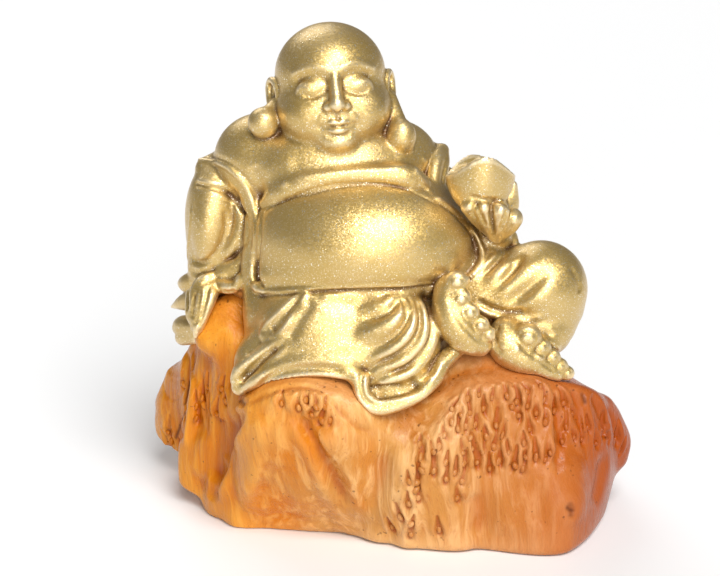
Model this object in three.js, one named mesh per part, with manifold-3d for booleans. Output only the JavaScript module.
// A cast ornament: a stout seated monk in an open robe, holding an ingot,
// set on a base shaped like a polished tree root.
// Millimetres, +Z up. The origin is on the underside of the base, below the middle of its width.

import * as THREE from 'three';
import { mergeVertices } from 'three/addons/utils/BufferGeometryUtils.js';
import ManifoldModule from 'manifold-3d';

const wasm = await ManifoldModule();
wasm.setup();

// Driving sizes, in millimetres.
const FIGURE_HEIGHT = 140; // lowest hem to crown
const FIGURE_OFFSET = -24; // the figure's middle line, left of the base's middle
const BASE_WIDTH = 188;
const BASE_DEPTH = 124;
const SEAT_HEIGHT = 66; // level part of the base's top
const HEM_DROP = 6; // how far the lowest hem hangs below the seat
const SEAT_CLEARANCE = 0.3; // between the figure's underside and the base
const RIM_CLEARANCE = 0.8; // between the base's side and the cloth that hangs over it

// Finishes.
const GOLD = new THREE.MeshStandardMaterial({ color: 0xc9a552, metalness: 0.85, roughness: 0.42 });
const ROOT = new THREE.MeshStandardMaterial({ color: 0xc8742a, metalness: 0, roughness: 0.3 });

// The figure is laid out in hundredths of its own height: x to its left hand,
// y to its back and z up, from the middle of its lowest hem.
const PERCENT = FIGURE_HEIGHT / 100;
const FIGURE_BOTTOM = SEAT_HEIGHT - HEM_DROP;

const vector = ([x, y, z]) => new THREE.Vector3(x, y, z);

function figureToModel([x, y, z]) {
  return [FIGURE_OFFSET + x * PERCENT, y * PERCENT, FIGURE_BOTTOM + z * PERCENT];
}

// Solids and meshes

function toSolid(geometry) {
  const bare = geometry.index ? geometry.clone() : mergeVertices(geometry);
  for (const name of ['normal', 'uv']) bare.deleteAttribute(name);
  const merged = mergeVertices(bare, 1e-5);
  return new wasm.Manifold(
    new wasm.Mesh({
      numProp: 3,
      vertProperties: new Float32Array(merged.attributes.position.array),
      triVerts: new Uint32Array(merged.index.array),
    }),
  );
}

function toGeometry(solid) {
  const { vertProperties, triVerts, numProp } = solid.getMesh();
  const geometry = new THREE.BufferGeometry();
  const points = new Float32Array((vertProperties.length / numProp) * 3);
  for (let i = 0; i < points.length / 3; i += 1) {
    for (let k = 0; k < 3; k += 1) points[3 * i + k] = vertProperties[numProp * i + k];
  }
  geometry.setAttribute('position', new THREE.BufferAttribute(points, 3));
  geometry.setIndex(new THREE.BufferAttribute(new Uint32Array(triVerts), 1));
  geometry.computeVertexNormals();
  return geometry;
}

function reshape(geometry, move) {
  const place = geometry.attributes.position;
  const point = new THREE.Vector3();
  for (let i = 0; i < place.count; i += 1) {
    point.fromBufferAttribute(place, i);
    move(point);
    place.setXYZ(i, point.x, point.y, point.z);
  }
  return geometry;
}

// Forms of the figure, each a closed geometry in the figure's hundredths

const degrees = THREE.MathUtils.degToRad;

function turnMatrix(turn, at = [0, 0, 0]) {
  const matrix = new THREE.Matrix4().makeRotationFromEuler(new THREE.Euler(...turn.map(degrees)));
  return matrix.setPosition(...at);
}

function ball(at, radii, { turn = [0, 0, 0], around = 12, up = 7 } = {}) {
  const geometry = new THREE.SphereGeometry(1, around, up);
  geometry.rotateX(Math.PI / 2);
  return geometry.scale(...radii).applyMatrix4(turnMatrix(turn, at));
}

// The axis that a path runs along least
function axisBeside(path) {
  const run = path.at(-1).map((v, k) => Math.abs(v - path[0][k]));
  return run.map((length) => (length === Math.min(...run) ? 1 : 0));
}

// A round-ended tube through the points of path, with its radius at each point
function limb(path, radii, { around = 6, steps = 5, tip = 1 } = {}) {
  const line = new THREE.CatmullRomCurve3(path.map(vector), false, 'centripetal');
  const girth = new THREE.SplineCurve(radii.map((radius, i) => new THREE.Vector2(i, radius)));
  const geometry = new THREE.CapsuleGeometry(1, 1, tip, around, steps);
  const across = vector(axisBeside(path));
  return reshape(geometry, (p) => {
    const along = THREE.MathUtils.clamp(p.y + 0.5, 0, 1);
    const radius = girth.getPoint(along).y;
    const tangent = line.getTangent(along);
    const normal = new THREE.Vector3().crossVectors(tangent, across).normalize();
    const flat = new THREE.Vector3().crossVectors(tangent, normal);
    const [sideways, past, out] = [p.x, p.y + 0.5 - along, p.z].map((v) => v * radius);
    p.copy(line.getPoint(along)).addScaledVector(tangent, past);
    p.addScaledVector(flat, sideways).addScaledVector(normal, out);
  });
}

// count ridges spread evenly between two edge lines with as many points each
function foldsBetween(first, last, count, radii, options) {
  const blend = (share) => first.map((point, i) => point.map((v, k) => v + (last[i][k] - v) * share));
  return Array.from({ length: count }, (_, i) => limb(blend(i / (count - 1)), radii, options));
}

// Distance from a point to a form, which is a ball (at, radii, turn) or a limb (path, radii)
function distanceTo({ at, path, radii, turn = [0, 0, 0] }) {
  if (path) {
    const points = path.map(vector);
    const nearest = new THREE.Vector3();
    return (p) => {
      const gaps = points.slice(1).map((end, i) => {
        const stretch = new THREE.Line3(points[i], end);
        const share = stretch.closestPointToPointParameter(p, true);
        const radius = THREE.MathUtils.lerp(radii[i], radii[i + 1], share);
        return stretch.at(share, nearest).distanceTo(p) - radius;
      });
      return Math.min(...gaps);
    };
  }
  const inward = turnMatrix(turn, at).invert();
  const size = vector(radii);
  return (p) => {
    const scaled = p.clone().applyMatrix4(inward).divide(size);
    const level = scaled.length();
    return (level * (level - 1)) / scaled.divide(size).length();
  };
}

const OUTSIDE = 90; // farther out than any form
const SKIN_STEPS = 60;
const SKIN_PACE = 0.8;

// One closed skin over several forms that run smoothly into each other, drawn in from
// far outside towards centre
function moulded(centre, forms, { around, up, blend = 2, ripple = () => 0 }) {
  const gaps = forms.map(distanceTo);
  const middle = vector(centre);
  const skinGap = (p) => {
    const total = gaps.reduce((sum, gap) => sum + Math.exp(-gap(p) / blend), 0);
    return -blend * Math.log(total) - ripple(p);
  };
  const geometry = new THREE.SphereGeometry(1, around, up).rotateX(Math.PI / 2);
  return reshape(geometry, (direction) => {
    const point = new THREE.Vector3();
    let reach = OUTSIDE;
    for (let step = 0; step < SKIN_STEPS; step += 1) {
      point.copy(middle).addScaledVector(direction, reach);
      reach -= SKIN_PACE * THREE.MathUtils.clamp(skinGap(point), -2, 20);
    }
    direction.copy(point);
  });
}

// Head

const HEAD = { at: [0.6, -1.2, 79.4], turn: [-13, -4, 5] }; // leans back, dips to its left
const EAR_LOBES = [
  { side: -1, at: [-18.2, -4.2, 70], radii: [4.3, 4, 4.2] },
  { side: 1, at: [20.3, -2.2, 65.2], radii: [3.8, 3.8, 5] },
];

const SKULL = [
  { at: [0, 1, 3.2], radii: [15.2, 15.6, 14.4] },
  { at: [0, -1.6, -5.4], radii: [15.6, 13.8, 11] },
  { at: [-7, -9.4, -5.4], radii: [6.4, 5.4, 5.4] },
  { at: [7, -9.4, -5.4], radii: [6.4, 5.4, 5.4] },
  { at: [0, -11.6, -12.4], radii: [4.8, 3.6, 3] },
];

const LIPS = [
  { path: [[-4.2, -14.4, -8.8], [0, -16, -9], [4.2, -14.4, -8.8]], radii: [0.7, 1.3, 0.7] },
  { path: [[-3.4, -14, -10.4], [0, -15.4, -11], [3.4, -14, -10.4]], radii: [0.7, 1.4, 0.7] },
];

function head() {
  const pair = (make) => [-1, 1].map(make);
  const features = [
    moulded([0, 0, -1], SKULL, { around: 16, up: 10, blend: 1 }),
    limb([[0, -14, 4], [0, -16.2, -1], [0, -17.4, -4.4]], [1.2, 1.5, 1.9], { around: 5, steps: 2 }),
    ...LIPS.map(({ path, radii }) => limb(path, radii, { around: 4, steps: 2 })),
    ...pair((s) => ball([s * 2, -15.8, -5.2], [1.6, 1.6, 1.2], { around: 5, up: 3 })),
    ...pair((s) => ball([s * 5.6, -12.8, 1], [3.4, 2.2, 1.8], { around: 7, up: 4 })),
    ...pair((s) => {
      const brow = [[s * 10.4, -10.8, 3.6], [s * 6.2, -13.4, 6], [s * 2, -14.2, 5]];
      return limb(brow, [0.7, 1.3, 0.8], { around: 4, steps: 2 });
    }),
    ...pair((s) => ball([s * 15.4, 1.4, -1.4], [1.7, 3, 5.4], { turn: [0, s * 8, 0], around: 6, up: 5 })),
  ];
  return features.map((geometry) => geometry.applyMatrix4(turnMatrix(HEAD.turn, HEAD.at)));
}

function earLobes() {
  return EAR_LOBES.flatMap(({ side, at, radii }) => {
    const ear = [HEAD.at[0] + side * 15.6, 0.4, at[2] + 6.4];
    const middle = [at[0] - side * 2.4, at[1] + 2, at[2] + 3];
    const strip = limb([ear, middle, at], [1.6, 1.8, 2.6], { around: 5, steps: 2 });
    return [ball(at, radii, { around: 8, up: 6 }), strip];
  });
}

// Trunk

const TRUNK = [
  { at: [3, 6, 40], radii: [29, 17, 26] },
  { at: [-17.6, 3, 56], radii: [13.2, 12.4, 12] },
  { at: [19, 5, 54], radii: [11.6, 11, 11] },
  { at: [1, 0, 58.6], radii: [22, 14, 11] },
  { at: [-6.4, -8.4, 57], radii: [15, 11.6, 7] },
  { at: [13.6, -8.4, 60.6], radii: [14, 11.2, 6] },
  { at: [1, 0, 68], radii: [11, 9, 6] },
];
const CHEST_FOLD = [
  [-17, -13.6, 50.4], [-8, -19.6, 54], [3, -22, 57.2], [15, -19.6, 59], [26, -12.6, 58.8],
];
const BELLY = { at: [9.6, -8.4, 42.2], radii: [29.6, 25, 16.8] };

function trunk() {
  return [
    moulded([2, 0, 52], TRUNK, { around: 20, up: 11, blend: 1.2 }),
    limb(CHEST_FOLD, [1.2, 2, 2, 2, 1.2], { around: 5, steps: 5 }),
    ball(BELLY.at, BELLY.radii, { around: 18, up: 11 }),
  ];
}

// Robe over the shoulders, the sleeves and the back

const RIGHT_LAPEL = [
  [-35, 3, 55.4], [-30.6, -4.6, 54.6], [-24.6, -10.4, 51], [-21.2, -14, 46.6],
  [-20.6, -17.6, 40], [-20.8, -21, 33.4], [-19.6, -24, 28.2],
];
const LEFT_LAPEL = [
  [30.6, 1.6, 59.6], [29, -7, 56], [30.4, -14.4, 50], [37, -18.4, 43.8],
  [39.8, -21, 38], [38.8, -24.4, 33], [35, -28, 30.2],
];

// The back of the robe falls in flutes that deepen towards the seat
const ROBE_BACK = [
  { at: [1, 9, 38], radii: [31, 16, 29] },
  { at: [3, 8, 8], radii: [37, 24, 14] },
  { path: [[-21, -1, 49], [-20, -8, 32], [-18, -13, 16], [-16, -15, 2]], radii: [8, 9.4, 9.6, 10] },
];
const FLUTE = { width: 9.5, depth: 1.5 };

function flutes({ x, y, z }) {
  const fade = THREE.MathUtils.smoothstep(y - 0.35 * z, -6, 14);
  return fade * FLUTE.depth * Math.cos((2 * Math.PI * x) / FLUTE.width);
}

function robe() {
  const collar = [[-35, 3, 55], [-25, 13, 54], [-2, 21, 53], [20, 16, 58], [30.6, 4, 59.8]];
  return [
    moulded([1, 4, 24], ROBE_BACK, { around: 28, up: 8, blend: 2, ripple: flutes }),
    limb(RIGHT_LAPEL, [1.8, 2.6, 2.6, 2.4, 2, 1.8, 1.6], { around: 5, steps: 6 }),
    limb(LEFT_LAPEL, [2.8, 2.4, 1.5, 1.3, 1.4, 1.7, 1.4], { around: 5, steps: 6 }),
    limb(collar, [1.8, 2.2, 2.4, 2.2, 2.4], { around: 5, steps: 5 }),
  ];
}

// The right arm hangs in its sleeve and the hand holds the root

const RIGHT_SLEEVE = [[-28.6, 4.6, 53], [-30.8, 4.6, 45], [-31, 3, 35], [-32, -0.4, 27]];
const RIGHT_HAND = [-31.4, -11.4, 22.6];
const RIGHT_THUMB = [[-28.6, -12.2, 24.4], [-26.4, -13.4, 25.4], [-24.4, -13.6, 24.6]];
const RIGHT_FINGERTIPS = [[-33.6, -17.6, 12.2], [-35, -15.6, 11.2], [-36.2, -13.4, 10.8], [-37, -11, 11.4]];

function rightArm() {
  const sleeveFolds = foldsBetween(
    [[-31.8, -4, 44], [-35, -6.4, 35], [-37, -5, 28]],
    [[-24, -9, 43], [-25.4, -11, 35], [-31, -10, 28.4]],
    3,
    [1.8, 3, 1.6],
    { around: 5, steps: 3 },
  );
  const cuffSteps = [17.4, 11.2, 4.6].map((z, i) =>
    ball([-38.6 - i * 0.9, 6, z], [5 + i * 0.4, 9, 3.6], { turn: [0, -28, 0], around: 7, up: 4 }),
  );
  const fingers = RIGHT_FINGERTIPS.map((tip, i) => {
    const knuckle = [RIGHT_HAND[0] + 1.2 - i * 1.9, RIGHT_HAND[1] - 3.4 + i, 21];
    const middle = knuckle.map((v, k) => (v + tip[k]) / 2 - (k === 1 ? 1.8 : 0));
    return limb([knuckle, middle, tip], [1.7, 1.6, 1.3], { around: 5, steps: 2 });
  });
  return [
    limb(RIGHT_SLEEVE, [9, 9.4, 9, 7.4], { around: 10, steps: 4, tip: 2 }),
    limb([[-32.4, -1, 27], [-33.4, 3, 19], [-34, 6, 8]], [7.4, 7, 7.6], { around: 7, steps: 2 }),
    ball(RIGHT_HAND, [5.6, 5.2, 4.6], { turn: [0, -20, 0], around: 7, up: 5 }),
    limb(RIGHT_THUMB, [2, 1.8, 1.5], { around: 5, steps: 2 }),
    ...sleeveFolds,
    ...cuffSteps,
    ...fingers,
  ];
}

// The left hand holds up the ingot

const LEFT_PALM = [43.6, -18.4, 46];
const LEFT_FINGERTIPS = [[36.6, -24.8, 51.2], [40.7, -26.8, 52], [45.6, -26.8, 50.8], [50.2, -23, 48.2]];
const INGOT = { at: [42.2, -15.4, 56.8], turn: [-6, 6, -14], half: [9.6, 10.8, 7.4] };

function leftArm() {
  const fingers = LEFT_FINGERTIPS.map((tip, i) => {
    const wrist = [LEFT_PALM[0] - 2.2 + i * 1.5, LEFT_PALM[1] - 1.6, 42.4];
    const bend = [(wrist[0] + tip[0]) / 2, (wrist[1] + tip[1]) / 2 - 1.6, 46.6];
    return limb([wrist, bend, tip], [1.9, 1.9, 1.7], { around: 5, steps: 2 });
  });
  return [
    limb([[26, 6, 51.4], [36, 6, 43], [41, 4, 33]], [8.6, 8.6, 8.8], { around: 8, steps: 3 }),
    limb([[41, 4, 32], [44, -4, 36], [45.2, -10, 38.6]], [8.4, 7, 6], { around: 7, steps: 2 }),
    limb([[44, -4, 36], [45.4, -12, 39.6], LEFT_PALM], [4.4, 3.8, 4.4], { around: 6, steps: 2 }),
    ball(LEFT_PALM, [6, 4, 5.6], { around: 8, up: 5 }),
    limb([[47.6, -13, 44], [50.8, -12.6, 48.6], [51.4, -13.4, 54]], [2, 1.8, 1.4], { around: 5, steps: 2 }),
    ...fingers,
  ];
}

// A boat-shaped ingot: a hull with pointed, raised ends and a dome between them
function ingot() {
  const [halfWidth, halfLength, depth] = INGOT.half;
  const geometry = new THREE.SphereGeometry(1, 14, 8);
  geometry.rotateX(Math.PI / 2);
  reshape(geometry, (p) => {
    const inner = Math.max(0, 1 - p.x * p.x - p.y * p.y);
    const rim = 0.8 * Math.abs(p.y) ** 2.4;
    const dome = 0.75 * Math.exp(-(p.x * p.x + p.y * p.y) / 0.16) - 0.2;
    const height = p.z > 0 ? rim + dome * Math.sqrt(inner) : p.z + rim * (1 + p.z);
    const width = p.x * (1 - 0.4 * p.y * p.y);
    p.set(width * halfWidth, p.y * halfLength, height * depth);
  });
  return geometry.applyMatrix4(turnMatrix(INGOT.turn, INGOT.at));
}

// Legs, feet and the cloth over the lap

const RIGHT_FOOT = {
  pad: [[30.6, -37, 30], [32.4, -39.6, 25], [37, -41.2, 20.4], [41.6, -40.6, 17.8]],
  toes: [[34.2, -35.6, 33.8], [35.6, -38.2, 30.2], [37.6, -40.2, 27], [40.4, -41, 24], [42.4, -41, 21.2]],
  instep: { at: [35, -33, 25], radii: [7, 6, 9], turn: [0, 24, 0] },
};
const LEFT_FOOT = {
  pad: [[46.4, -31.6, 19.6], [47, -33.6, 15], [51.4, -33.6, 11.4], [57.4, -30.4, 8.6]],
  toes: [[53.2, -34.6, 18.6], [57, -34, 15], [60.2, -32.2, 11.2], [62.6, -30.2, 8.4], [65.2, -27.8, 6.2]],
  instep: { at: [53, -27, 14], radii: [8, 7, 8], turn: [0, 30, 0] },
};

function foot({ pad, toes, instep }) {
  return [
    ball(instep.at, instep.radii, { turn: instep.turn, around: 8, up: 5 }),
    limb(pad, [3, 3.6, 3.2, 2.4], { around: 5, steps: 3 }),
    ...toes.map((tip, i) => {
      const size = 2.9 - 0.3 * i;
      const lean = tip.map((v, k) => v + (instep.at[k] - v) * 0.24);
      return ball(lean, [size, size * 1.5, size], { around: 5, up: 4 });
    }),
  ];
}

const LEFT_KNEE = { at: [58.2, -13.4, 24.6], radii: [12.9, 13, 13.6] };
const LAP = [
  { at: [4, -10, 12], radii: [34, 26, 15] },
  { path: [[-13, -20, 13.6], [-5, -26, 15], [10, -28.6, 15], [27, -28, 19]], radii: [11.4, 13.6, 13, 9] },
  { path: [[18, -2, 18], [38, -10, 22], [57, -12.6, 24]], radii: [15, 13, 12.6] },
  { at: [-13, -30, 7], radii: [12, 7, 9] },
  { at: [6, -26.4, 6], radii: [26, 14, 9] },
];

function legs() {
  return [
    moulded([14, -14, 12], LAP, { around: 28, up: 10, blend: 1.6 }),
    ball(LEFT_KNEE.at, LEFT_KNEE.radii, { around: 12, up: 8 }),
    limb([[60, -13, 20], [58, -19, 13], [50, -25, 12]], [10, 8.4, 6], { around: 7, steps: 3 }),
    ...foot(RIGHT_FOOT),
    ...foot(LEFT_FOOT),
  ];
}

// Rolled edges and hems of the cloth, as paths with their radii
const LAP_EDGES = [
  { path: [[-5.4, -27, 28.6], [-11.8, -31.4, 23.6], [-17.4, -31.6, 17.4]], radii: [1.2, 2.2, 2.4] },
  {
    path: [[-13.6, -33.6, 17.6], [-20.8, -34, 12], [-25.4, -33.6, 6.4], [-23.6, -34.4, 3]],
    radii: [2.6, 3, 3, 2.4],
  },
  {
    path: [[-24, -34.4, 3.4], [-17, -36.8, 7.6], [-8.6, -39.6, 10.8], [0, -41.4, 11.8], [8, -42, 10.4]],
    radii: [2.4, 3, 3.4, 3.6, 3.2],
  },
  {
    path: [
      [9.4, -41.8, 10], [11.6, -43, 3.6], [17.6, -43, 2.4],
      [25, -41.6, 5.6], [31.4, -39.6, 10.6], [36, -37, 15],
    ],
    radii: [2.8, 3.2, 3.4, 3.2, 2.8, 2.4],
  },
];
// Folds that fan out from the right ankle and from the left knee, between two edge lines
const LAP_FOLDS = {
  first: [[19, -33, 28.6], [17.4, -38.6, 25.2], [9.6, -41.4, 23.6]],
  last: [[26.4, -32, 29.6], [27.4, -41.4, 20.4], [15, -44.6, 11.6]],
  count: 4,
  radii: [1.4, 2.2, 1.7],
};
const KNEE_FOLDS = {
  first: [[49.6, -18, 34], [45, -22.6, 31.6], [40.6, -25, 29.4]],
  last: [[57, -25.6, 26], [50.4, -29.6, 22.6], [44, -31.6, 22.6]],
  count: 4,
  radii: [1.2, 1.7, 1.2],
};

function lapCloth() {
  return [
    ...LAP_EDGES.map(({ path, radii }) => limb(path, radii, { steps: 2 + path.length })),
    ...[LAP_FOLDS, KNEE_FOLDS].flatMap(({ first, last, count, radii }) =>
      foldsBetween(first, last, count, radii, { around: 5, steps: 3 }),
    ),
  ];
}

// Base

// Crests and hollows of the root, anticlockwise from the right end. The reaches
// are shares of half the base's size, at the foot and at the rim; lift is how
// far the foot of a lobe curls clear of the ground, as a share of the seat height.
const LOBES = [
  { angle: 0, foot: 0.92, rim: 0.97 },
  { angle: 24, foot: 0.86, rim: 0.9 },
  { angle: 44, foot: 0.79, rim: 0.8 },
  { angle: 62, foot: 0.61, rim: 0.62 },
  { angle: 82, foot: 0.6, rim: 0.56 },
  { angle: 98, foot: 0.53, rim: 0.53 },
  { angle: 116, foot: 0.63, rim: 0.6 },
  { angle: 134, foot: 0.66, rim: 0.68 },
  { angle: 149, foot: 0.9, rim: 0.84, lift: 0.12 },
  { angle: 162, foot: 1.06, rim: 0.98, lift: 0.2 },
  { angle: 173, foot: 0.84, rim: 0.9, lift: 0.16 },
  { angle: 184, foot: 0.9, rim: 0.8, lift: 0.1 },
  { angle: 194, foot: 0.76, rim: 0.74, lift: 0.03 },
  { angle: 205, foot: 0.73, rim: 0.7 },
  { angle: 219, foot: 0.42, rim: 0.68 },
  { angle: 236, foot: 0.4, rim: 0.68 },
  { angle: 268, foot: 0.52, rim: 0.62 },
  { angle: 278, foot: 0.58, rim: 0.65 },
  { angle: 300, foot: 0.67, rim: 0.66 },
  { angle: 321, foot: 0.95, rim: 0.8 },
  { angle: 342, foot: 0.93, rim: 0.93 },
];
const LOBE_ASPECT = 1.52; // width over depth of the base that those reaches draw
const SIDE_BULGE = 0.035; // how far the side swells at half height, as a share of the half width
const SEGMENTS = 54;
const SIDE_STEPS = 6;
const TOP_RINGS = [0.94, 0.78, 0.58, 0.32];
const UNDERSIDE_RING = 0.7;
const [FLOOR, SEAT] = [-1, 2]; // marks for rings on the underside and on the top

// Swells and dips of the seat: middle and spread as shares of the base's half size,
// rise as a share of the seat height. The spur under the right hand comes on top.
const SWELLS = [
  { x: 0.07, y: -1.04, spreadX: 0.12, spreadY: 0.19, rise: -0.3 },
  { x: -0.62, y: -0.85, spreadX: 0.16, spreadY: 0.21, rise: -0.2 },
  { x: -1.05, y: 0.52, spreadX: 0.28, spreadY: 0.48, rise: -0.34 },
  { x: 1.02, y: 0.3, spreadX: 0.19, spreadY: 0.58, rise: -0.5 },
  { x: 0.8, y: 0.68, spreadX: 0.26, spreadY: 0.35, rise: -0.28 },
  { x: 0, y: 1.1, spreadX: 0.64, spreadY: 0.26, rise: -0.1 },
];
// The spur's middle from the hand and its spread, in hundredths of the figure
const SPUR = { shift: [5.7, 10], spread: [10.7, 15.7], belowPalm: 0.7 };

function seatLevel(x, y) {
  const [halfWidth, halfDepth] = [BASE_WIDTH / 2, BASE_DEPTH / 2];
  const [palmX, palmY, palmZ] = RIGHT_HAND;
  const [spurX, spurY, spurZ] = figureToModel([
    palmX + SPUR.shift[0],
    palmY + SPUR.shift[1],
    palmZ - SPUR.belowPalm,
  ]);
  const swell = (across, along, rise) => rise * Math.exp(-(across * across + along * along) / 2);
  const spur = swell(
    (x - spurX) / (SPUR.spread[0] * PERCENT),
    (y - spurY) / (SPUR.spread[1] * PERCENT),
    spurZ - SEAT_HEIGHT,
  );
  return SWELLS.reduce((level, s) => {
    const across = (x / halfWidth - s.x) / s.spreadX;
    const along = (y / halfDepth - s.y) / s.spreadY;
    return level + swell(across, along, s.rise * SEAT_HEIGHT);
  }, SEAT_HEIGHT + spur);
}

function lobeAt(angle) {
  const turn = THREE.MathUtils.euclideanModulo(THREE.MathUtils.radToDeg(angle), 360);
  const after = LOBES.findIndex((lobe) => lobe.angle > turn);
  const next = after < 0 ? LOBES.length : after;
  const [from, to] = [LOBES[next - 1], LOBES[next % LOBES.length]];
  const gap = THREE.MathUtils.euclideanModulo(to.angle - from.angle, 360);
  const share = (1 - Math.cos((Math.PI * (turn - from.angle)) / gap)) / 2;
  const mix = (key) => THREE.MathUtils.lerp(from[key] ?? 0, to[key] ?? 0, share);
  return { foot: mix('foot'), rim: mix('rim'), lift: mix('lift') };
}

// The point of the root's side in this direction, at a share t of the side's height
function sidePoint(angle, t, outward = 0) {
  const { foot, rim, lift } = lobeAt(angle);
  const reach = THREE.MathUtils.lerp(foot, rim, t * t * (3 - 2 * t)) + SIDE_BULGE * Math.sin(Math.PI * t);
  const x = ((reach * BASE_WIDTH) / 2 + outward) * Math.cos(angle);
  const y = (((reach * BASE_DEPTH) / 2) * LOBE_ASPECT + outward) * Math.sin(angle);
  const bottom = lift * SEAT_HEIGHT;
  return [x, y, THREE.MathUtils.lerp(bottom, seatLevel(x, y), t)];
}

// The root as a body turned about the upright axis, its rings then drawn out to the
// lobes. With a gap it is grown sideways and upwards, to clear the figure that it holds.
function root({ sideGap = 0, topGap = 0 } = {}) {
  const side = Array.from({ length: SIDE_STEPS + 1 }, (_, i) => [1, i / SIDE_STEPS]);
  const top = TOP_RINGS.map((radius) => [radius, SEAT]);
  const rim = sideGap > 0 ? [[1, SEAT]] : [];
  const outline = [[0, FLOOR], [UNDERSIDE_RING, FLOOR], ...side, ...rim, ...top, [0, SEAT]];
  const points = outline.map(([radius, mark]) => new THREE.Vector2(radius, mark));
  const geometry = new THREE.LatheGeometry(points, SEGMENTS).rotateX(Math.PI / 2);
  return reshape(geometry, (p) => {
    const angle = Math.atan2(p.y, p.x);
    const share = Math.hypot(p.x, p.y);
    const mark = p.z;
    if (mark === FLOOR || mark === SEAT) {
      const [x, y] = sidePoint(angle, mark === SEAT ? 1 : 0);
      const level = mark === SEAT ? seatLevel(x * share, y * share) + topGap : 0;
      p.set(x * share, y * share, level);
    } else {
      const [x, y, z] = sidePoint(angle, mark, sideGap);
      p.set(x, y, z + topGap * mark);
    }
  });
}

// Assembly

function figureSolid() {
  const forms = [
    ...head(),
    ...earLobes(),
    ...trunk(),
    ...robe(),
    ...rightArm(),
    ...leftArm(),
    ingot(),
    ...legs(),
    ...lapCloth(),
  ];
  const pose = new THREE.Matrix4().makeScale(PERCENT, PERCENT, PERCENT);
  pose.setPosition(...figureToModel([0, 0, 0]));
  const solids = forms.map((form) => toSolid(form.applyMatrix4(pose)));
  const seat = toSolid(root({ sideGap: RIM_CLEARANCE, topGap: SEAT_CLEARANCE }));
  return solids.reduce((whole, solid) => whole.add(solid)).subtract(seat);
}

function piece(name, geometry, material) {
  const mesh = new THREE.Mesh(geometry, material);
  mesh.name = name;
  return mesh;
}

const ornament = new THREE.Group();
ornament.add(piece('budai_figure', toGeometry(figureSolid()), GOLD));
ornament.add(piece('root_base', toGeometry(toSolid(root())), ROOT));

export default ornament;
